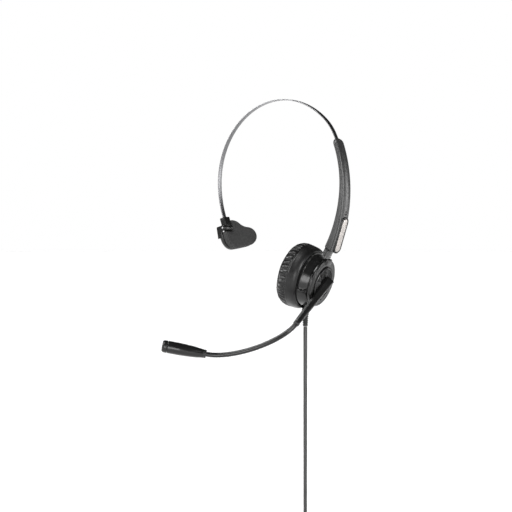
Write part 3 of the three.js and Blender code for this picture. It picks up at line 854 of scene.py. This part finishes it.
GROOVES = 5
hub = [(0, -2), (12.5, -2), (12.5, -0.1), (12.4, 0.35), (12.05, 0.8), (11.7, 0.85), (11.4, 0.6),
       (11.3, -0.1)]
for i in range(GROOVES):
    r = 11.1 - 1.05 * i
    hub += [(r, -0.1), (r - 0.2, 0.4), (r - 0.45, 0.5), (r - 0.7, -0.1)]
hub += [(5.8, -0.1), (5.6, 0.5), (0, 0.55)]
piece("boom_hub_plate", *turned(hub, 160, 0.12), gloss, "boom", "gloss_black", ["boom_hub"], CUP)

DRUM = [(14.5, -3.3), (17.9, -3.3), (18.35, -3.5), (18.7, -4.0), (19.3, -5.2), (19.85, -6.4),
        (20.35, -7.8), (20.75, -9.2), (20.95, -10.2), (21, -10.6)]
DRUM_INNER = [(21, -18.9), (19.6, -18.9), (19.6, -11.6), (15.2, -9.9), (14.5, -8)]
DRUM_FACE_R, CONE_END_Z = 17.9, -11
# The scoop is a groove round the upper half: its middle, half width and depths, and its lip.
SCOOP_R, SCOOP_Z, SCOOP_CUT = 20.6, -6.9, 3.7
SCOOP_WALL, SCOOP_BOWL, SCOOP_LIP = 1.5, 0.8, 0.26
SCOOP_MIDDLE, SCOOP_HALF = rad(90), rad(101)
# The room for the swivel's stud: its floor, its half width and how softly its sides rise.
ROOM_Z, ROOM_HALF, ROOM_EASE = -4.6, 2.9, 0.8


def resampled(line, spacing):
    """Points on a line of (r, z) points, about spacing apart."""
    out = []
    for p, q in zip(line, line[1:]):
        n = max(1, round(math.dist(p, q) / spacing))
        out += [tuple(p[k] + (q[k] - p[k]) * i / n for k in (0, 1)) for i in range(n)]
    return out + [line[-1]]


def scoop_depth(angle, z):
    """How far the drum is hollowed; less than nothing on the lip round the hollow."""
    turn = abs((angle - SCOOP_MIDDLE + math.pi) % TAU - math.pi)
    past = max(0.0, turn - SCOOP_HALF) * SCOOP_R
    d = math.hypot(past, z - SCOOP_Z)
    lip = SCOOP_LIP * math.exp(-((d - SCOOP_CUT - 0.2) / 0.24) ** 2)
    if d >= SCOOP_CUT:
        return -lip
    wall = smooth((SCOOP_CUT - d) / 0.45)
    bowl = math.sqrt(max(0, 1 - (d / SCOOP_CUT) ** 2))
    return SCOOP_WALL * wall + SCOOP_BOWL * bowl - lip


def stud_room(x, y, z):
    """How far the drum's front face is set back under the swivel's stud."""
    return max(0.0, z - ROOM_Z) * smooth((ROOM_HALF - abs(x)) / ROOM_EASE) if y > 0 else 0.0


def drum():
    """The drum's walls, outside and inside, with the scoop pressed into its cone."""
    outside = resampled(DRUM[1:], 0.22) + resampled([DRUM[-1], DRUM_INNER[0]], 1.5)[1:]
    line = [DRUM[0]] + outside + DRUM_INNER[1:] + [DRUM[0]]
    sides = 360
    rings = []
    for r, z in line:
        ring = []
        for i in range(sides):
            a = TAU * i / sides
            deep = scoop_depth(a, z) if r > DRUM_FACE_R and z > CONE_END_Z else 0
            x, y = polar(AXIS, r - deep, a)
            ring.append((x, y, z - stud_room(x, y, z)))
        rings.append(ring)
    return grid(rings, False, False)


piece("cup_drum", *drum(), gloss, "ear_cup", "gloss_black", ["cup_housing"], CUP, crease=45)

GLAND_Y, GLAND_Z = -19.2, -8.5


def gland():
    """The short sleeve under the drum that ends level, just above the strain relief."""
    profile = [(0, -0.8), (2.7, -0.8), (2.7, 4.2), (2.4, 4.5), (2.4, 4.9), (2.7, 5.2), (2.7, 8), (0, 8)]
    place = frame_of(CUP @ Vector((0, GLAND_Y, GLAND_Z)), rear, normal, -up)
    made = solid("cord_gland", *turned(profile, 64, 0.2), place, rubber)
    cut_below(made, RELIEF_TOP_Z + 0.3)
    belongs(made, "ear_cup", "gloss_black", "cup_housing")


gland()


# ---------- ear cushion ----------
CUSHION = [(21.4, -10.9), (21.9, -10.75), (22.6, -11.0), (23.3, -11.8), (23.9, -13.0),
           (24.25, -14.4), (24.45, -16.0), (24.6, -17.8), (24.65, -20.0), (24.6, -22.0),
           (24.1, -24.4), (23.0, -26.5), (21.2, -27.9), (18.6, -28.4), (16.0, -28.0),
           (13.8, -27.0), (12.1, -25.6), (11.4, -24), (11.3, -21), (21.4, -21)]
CUSHION_SIDES, SEAM_Z, PLEATS = 720, -18.8, 42
SEAM_DEPTH, SEAM_HALF = 0.5, 0.32
BAND_RISE, BAND_AT, BAND_HALF = 0.1, -0.9, 0.5
# Mm past the seam: where pleats have faded in, where they start to fade out, and over how far.
PLEAT_IN, PLEAT_OUT, PLEAT_FADE = 1.6, 5.5, 3.5


def spline_line(line, spacing):
    """A smooth line through (r, z) points, resampled."""
    pts = [Vector(p) for p in line]
    out = []
    for i in range(len(pts) - 1):
        a, b, c, d = pts[max(i - 1, 0)], pts[i], pts[i + 1], pts[min(i + 2, len(pts) - 1)]
        n = max(1, round((c - b).length / spacing))
        for k in range(n):
            t = k / n
            out.append(0.5 * (2 * b + (c - a) * t + (2 * a - 5 * b + 4 * c - d) * t * t
                              + (3 * b - a - 3 * c + d) * t ** 3))
    return [tuple(p) for p in out + [pts[-1]]]


def pleat_edges():
    """The angles of the creases, unevenly spaced round the cushion."""
    gaps = [1 + 0.8 * (rng.random() - 0.5) for _ in range(PLEATS)]
    total = sum(gaps)
    edges, angle = [], 0.0
    for gap in gaps:
        edges.append(angle)
        angle += TAU * gap / total
    return edges + [TAU]


pleat_at = pleat_edges()
pleat_size = [0.9 + 0.7 * rng.random() for _ in range(PLEATS)]
pleat_lean = [0.09 * (rng.random() - 0.5) for _ in range(PLEATS)]
pleat_start = [1.2 * rng.random() for _ in range(PLEATS)]


def pleat(angle, reach):
    """How far the leather stands out between its creases, reach mm past the seam."""
    index = min(bisect_right(pleat_at, angle), PLEATS) - 1
    lean = pleat_lean[index] * smooth(reach / 6)
    width = pleat_at[index + 1] - pleat_at[index]
    t = (angle - pleat_at[index]) / width
    t = min(1.0, max(0.0, t + lean / width * math.sin(math.pi * t)))
    begin = smooth((reach - 0.2 * pleat_start[index]) / PLEAT_IN)
    fade = 1 - smooth((reach - PLEAT_OUT - pleat_start[index]) / PLEAT_FADE)
    swell = math.sin(math.pi * t) ** 0.7
    return pleat_size[index] * begin * fade * (0.85 * swell - 0.62)


def cushion():
    """The cushion's ring: a seam with a raised band beside it, pleats past it, and some sag."""
    line = spline_line(CUSHION, 0.45)
    reaches = [0.0]
    for before, here in zip(line, line[1:]):
        reaches.append(reaches[-1] + math.dist(here, before))
    seam = next(reach for reach, (r, z) in zip(reaches, line) if z < SEAM_Z)
    rings = []
    for i, (r, z) in enumerate(line):
        before, after = line[max(i - 1, 0)], line[min(i + 1, len(line) - 1)]
        ahead = (Vector(after) - Vector(before)).normalized()
        out = Vector((-ahead.y, ahead.x))
        reach = reaches[i] - seam
        groove = SEAM_DEPTH * math.exp(-(reach / SEAM_HALF) ** 2)
        band = BAND_RISE * math.exp(-((reach - BAND_AT) / BAND_HALF) ** 2)
        ring = []
        for k in range(CUSHION_SIDES):
            a = TAU * k / CUSHION_SIDES
            lift = pleat(a, reach) if 0 < reach < 14 and r > 16 else 0
            sag = 0.12 * math.sin(3 * a + 1) + 0.08 * math.sin(7 * a)
            lift += (sag if 2 < i < len(line) - 6 else 0) - groove + band
            q = Vector((r, z)) + out * lift
            ring.append((*polar(AXIS, q.x, a), q.y))
        rings.append(ring)
    rings.append(rings[0])
    return grid(rings, False, False)


ear_pad = piece("ear_cushion_leather", *cushion(), leatherette(), "ear_cup", "leatherette",
                ["ear_cushion"], CUP, crease=75)


STITCHES, STITCH_R, STITCH_RISE, THREAD_R = 96, 24.15, 0.16, 0.13


def stitches():
    """Short threads along the seam, each bowed a little outwards."""
    parts = []
    for k in range(STITCHES):
        a0, a1 = TAU * (k + 0.18) / STITCHES, TAU * (k + 0.82) / STITCHES
        path = []
        for i in range(6):
            a = a0 + (a1 - a0) * i / 5
            r = STITCH_R + STITCH_RISE * math.sin(math.pi * i / 5)
            path.append((*polar(AXIS, r, a), SEAM_Z - 0.05))
        parts.append(sweep(path, circle(THREAD_R, 6)))
    return joined(parts)


piece("cushion_stitching", *stitches(), strap_weave, "ear_cup", "leatherette", (), CUP, crease=60)

front = [(0, -22.3), (3, -22.28), (6, -22.2), (8.5, -22.0), (10.0, -21.75), (10.6, -21.3),
         (10.7, -20.9), (0, -20.9)]
piece("speaker_weave_disc", *turned(front, 96, 0.2), cloth, "ear_cup", "speaker_cloth",
      ["speaker_cloth"], CUP, crease=50)


# ---------- boom: lever, collar, gooseneck, microphone ----------
LEVER_ANGLE, AHEAD, BEHIND = rad(222.9), 42.0, 6.5
LEVER_HALF, LEVER_TAPER, LEVER_BASE = 3.3, 0.75, 0.9
CREST, CREST_FALL, CREST_ROUND, CREST_FLAT = 7.0, 2.3, 3.4, 0.42
SHOULDER, SHOULDER_SHARE = 2.7, 0.55
lever_x = rear * math.cos(LEVER_ANGLE) + up * math.sin(LEVER_ANGLE)
LEVER = frame_of(pivot, lever_x, normal.cross(lever_x), normal)


def lever_bar():
    """A ridged bar, round at the back end, that gets lower and narrower towards its tip."""
    length = AHEAD + BEHIND
    rings = []
    stations = [0.02, 0.1, 0.25, 0.5, 0.9, 1.4, 2, 2.7, 3.3, 4.5]
    stations += [6 + (length - 8.5) * i / 40 for i in range(41)]
    stations += [length - 1.8, length - 1.1, length - 0.6, length - 0.25, length - 0.05, length]
    for s in stations:
        t = s / length
        half = LEVER_HALF - LEVER_TAPER * t
        if s < LEVER_HALF:
            half = math.sqrt(LEVER_HALF ** 2 - (LEVER_HALF - s) ** 2)
        tip = max(0.0, 1 - (length - s) / 0.7)
        half -= 0.35 * tip ** 2
        crest = CREST - CREST_FALL * t - CREST_ROUND * (1 - smooth(s / 2.2)) - 0.3 * tip ** 2
        shoulder = min(SHOULDER, LEVER_BASE + SHOULDER_SHARE * (crest - LEVER_BASE))
        flat = min(0.26, 0.3 * half) + CREST_FLAT
        inner = half * 0.95
        side = [(half * 0.9, LEVER_BASE), (half, LEVER_BASE + 0.25), (half, shoulder),
                (inner, shoulder + 0.2)]
        for k in (0.25, 0.5, 0.75):
            z = shoulder + 0.2 + (crest - CREST_FLAT - shoulder) * k - 0.12 * math.sin(math.pi * k)
            side.append((inner + (flat - inner) * k, z))
        side += [(flat, crest - 0.22), (0.02, crest + 0.04)]
        ring = [(s - BEHIND, y, z) for y, z in side]
        ring += [(s - BEHIND, -y, z) for y, z in reversed(side)]
        rings.append(ring)
    return grid(rings)


piece("boom_lever_bar", *lever_bar(), gloss, "boom", "gloss_black", ["boom_lever"], LEVER, crease=28)

MIC_AT = Vector((10.1, -74.8, -52))
mic_aim = Vector((-26.5, -22, 6.5)).normalized()
NECK_R, NECK_HANDLE, NECK_HEIGHT, BLEND_HALF = 1.8, 20, 2.4, 6
neck_start = pivot + lever_x * (AHEAD + 0.3) + normal * NECK_HEIGHT
neck_bezier = (neck_start, neck_start + lever_x * NECK_HANDLE, MIC_AT - mic_aim * NECK_HANDLE, MIC_AT)


def bezier(t):
    """A point on the flexible neck's middle line."""
    a, b, c, d = neck_bezier
    return (1 - t) ** 3 * a + 3 * t * (1 - t) ** 2 * b + 3 * t * t * (1 - t) * c + t ** 3 * d


collar_frame = frame_of(neck_start - lever_x * 0.6, normal, lever_x.cross(normal), lever_x)
collar = [(0, 0), (2.35, 0), (2.35, 1.5), (2.15, 1.9), (1.8, 2.2), (0, 2.2)]
piece("gooseneck_collar", *turned(collar, 64, 0.2), gloss, "boom", "gloss_black", (), collar_frame)

neck_path = [bezier(i / 160) for i in range(161)]
gooseneck = piece("gooseneck_sleeve", *sweep(neck_path, circle(NECK_R, 24)), rubber, None,
                  "rubber_black", ["gooseneck_root", "gooseneck_tip"], crease=50)
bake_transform(gooseneck)

mic_side = mic_aim.orthogonal().normalized()
MIC = frame_of(MIC_AT, mic_side, mic_aim.cross(mic_side), mic_aim)
mic_shell = [(0, 0.05), (2.5, 0.05), (3.0, 0.3), (3.15, 0.7), (3.15, 1.5), (2.95, 1.7), (3.15, 2.0),
             (3.3, 3.5), (3.6, 5.8), (3.9, 8), (4.15, 11), (4.32, 14), (4.5, 17), (4.6, 20),
             (4.6, 28.7), (4.45, 28.95), (3.7, 28.95), (3.4, 23), (3.4, 18.5), (0, 18.5)]
mic_end = [(0, 29.15), (4.35, 29.15), (4.6, 29.4), (4.6, 31.2), (4.4, 32.2), (3.9, 32.85),
           (3.5, 33), (3.3, 32.6), (2.9, 32.5), (0, 32.6)]
piece("mic_shell", *turned(mic_shell, 96, 0.25), gloss, "mic_end", "gloss_black", ["mic_body"], MIC)
piece("mic_end_cap", *turned(mic_end, 96, 0.3), rubber, "mic_end", "rubber_black", ["mic_cap"], MIC)


# ---------- strain relief, tie and plug ----------
RIBS, PLUG_RINGS = 5, 3
relief = [(0, -12), (1.62, -12), (1.85, -11.7)]
for i in range(RIBS):
    z = -11.2 + 1.5 * i
    r = 1.95 + 0.09 * i
    relief += [(r, z), (r, z + 0.85), (r - 0.42, z + 0.95), (r - 0.42, z + 1.4)]
relief += [(2.45, -3.6), (2.6, -3.0), (2.5, -0.2), (2.3, 0), (0, 0)]
relief_frame = Matrix.Translation((RELIEF.x, RELIEF.y, RELIEF_TOP_Z))
strain_relief = piece("strain_relief_ribbed", *turned(relief, 64, 0.12), rubber, "ear_cup",
                      "rubber_black", ["strain_relief"], relief_frame)


def tie_band():
    """A flat strap wound once round the bundle, with its end laid over."""
    path = []
    steps = 119
    for i in range(steps + 1):
        a = rad(-60) + rad(400) * i / steps
        r = 6.55 + 0.62 * smooth((a - rad(250)) / rad(60))
        path.append((coil_centre.x + 0.02 * i - 1.2, coil_centre.y + r * math.cos(a),
                     COIL_Z + COIL_R + r * math.sin(a)))
    return sweep(path, box_section(7.6, 0.55, 0.2), start_side=(1, 0, 0))


cord_tie = piece("cord_tie_strap", *tie_band(), strap_weave, "ear_cup", "tie_fabric", ["cord_tie"])

plug_low, plug_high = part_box("plug_body")
plug_x, plug_y = (plug_low.x + plug_high.x) / 2 / MM, (plug_low.y + plug_high.y) / 2 / MM
PLUG = Matrix.Translation((plug_x, plug_y, plug_high.z / MM))
plug = [(0, 0), (1.7, 0), (2.0, -0.4)]
for i in range(PLUG_RINGS):
    z = -0.9 - 1.1 * i
    plug += [(2.15 + 0.25 * i, z), (2.15 + 0.25 * i, z - 0.6), (1.95 + 0.25 * i, z - 0.7),
             (1.95 + 0.25 * i, z - 1.0)]
plug += [(3.2, -4.6), (3.3, -5.2), (3.3, -13.6), (3.0, -14.6), (2.5, -15), (0, -15)]
plug_body = piece("plug_grip", *turned(plug, 64, 0.15), rubber, "ear_cup", "rubber_black",
                  ["plug_body"], PLUG)
contacts = [(0, -15.3), (1.75, -15.3), (1.75, -19.2), (1.62, -19.3), (1.62, -19.7), (1.75, -19.8),
            (1.75, -22.2), (1.62, -22.3), (1.62, -22.7), (1.75, -22.8), (1.75, -25.6),
            (1.25, -26.4), (1.7, -27.6), (1.3, -28.6), (0.5, -29.3), (0, -29.3)]
plug_pin = piece("plug_contact_pin", *turned(contacts, 48, 0.1), brass, "ear_cup",
                 "contact_metal", ["plug_contacts"], PLUG)

# ---------- the CAD nodes that stay ----------
for look, names in (
    (satin, ("strap_end_stop", "speaker_baffle")),
    (silver, ("speaker_driver", "mic_element")),
    (bright, ("pad_hinge_pin", "friction_spring", "arm_screw_upper", "arm_screw_lower",
              "swivel_stud", "wave_washer", "boom_screw", "speaker_magnet")),
):
    for name in names:
        repaint(nodes[name].data, look)

# ---------- floor, backdrop and light ----------
FLOOR_Z = -296


def paper():
    look = Look("pale_paper", grey(0.9), 0.9)
    look.into("Base Color", look.ramp(look.noise(3, 2), 0.3, 0.7, grey(0.89), grey(0.91)))
    return look.material


def floor():
    """A wide pale disc just below the plug."""
    rings = rings_on([(r, FLOOR_Z) for r in (500, 2000, 6000, 14000)], 96)
    solid("floor", *grid(rings, True, False), ROW, paper())


def light(name, kind, power, direction):
    """A light that shines along a direction."""
    made = linked(name, bpy.data.lights.new(name, kind))
    made.data.energy = power
    made.rotation_euler = Vector(direction).to_track_quat("-Z", "Y").to_euler()
    return made


def sky():
    """A white backdrop seen directly, while the object is lit by a dim room round it."""
    world = bpy.data.worlds.new("studio")
    bpy.context.scene.world = world
    world.use_nodes = True
    tree = world.node_tree
    link = tree.links.new
    coords = tree.nodes.new("ShaderNodeTexCoord")
    split = tree.nodes.new("ShaderNodeSeparateXYZ")
    ramp = tree.nodes.new("ShaderNodeValToRGB")
    link(coords.outputs["Generated"], split.inputs[0])
    link(split.outputs["Z"], ramp.inputs["Fac"])
    for element, place, shade in zip(ramp.color_ramp.elements, (0.0, 0.6), (0.13, 0.05)):
        element.position, element.color = place, (*grey(shade), 1)
    room = tree.nodes["Background"]
    link(ramp.outputs["Color"], room.inputs["Color"])
    room.inputs["Strength"].default_value = 1.0
    white = tree.nodes.new("ShaderNodeBackground")
    white.inputs["Color"].default_value = (1, 1, 1, 1)
    rays = tree.nodes.new("ShaderNodeLightPath")
    mix = tree.nodes.new("ShaderNodeMixShader")
    link(rays.outputs["Is Camera Ray"], mix.inputs["Fac"])
    link(room.outputs[0], mix.inputs[1])
    link(white.outputs[0], mix.inputs[2])
    link(mix.outputs[0], tree.nodes["World Output"].inputs["Surface"])


floor()
sky()
light("overhead", "SUN", 4.1, (0.25, 0.45, -1)).data.angle = rad(26)
# Each area light faces the frame's origin from its place: name, place, size and power.
for name, at, size, power in (
    ("key_left", (-1.15, -0.85, 0.75), (0.7, 0.6), 36),
    ("fill_right", (1.5, -0.5, 0.45), (0.3, 1.0), 36),
    ("side_rear", (1.08, 1.06, 0.0), (0.4, 0.8), 9),
    ("front_left", (-0.42, -1.4, 0.28), (0.35, 0.6), 7),
    ("front", (0.56, -1.1, -0.03), (0.36, 0.6), 12),
):
    panel = light(name, "AREA", power, -Vector(at))
    panel.location = at
    panel.data.shape = "RECTANGLE"
    panel.data.size, panel.data.size_y = size
bpy.context.scene.view_settings.view_transform = "Standard"

bpy.context.view_layer.update()
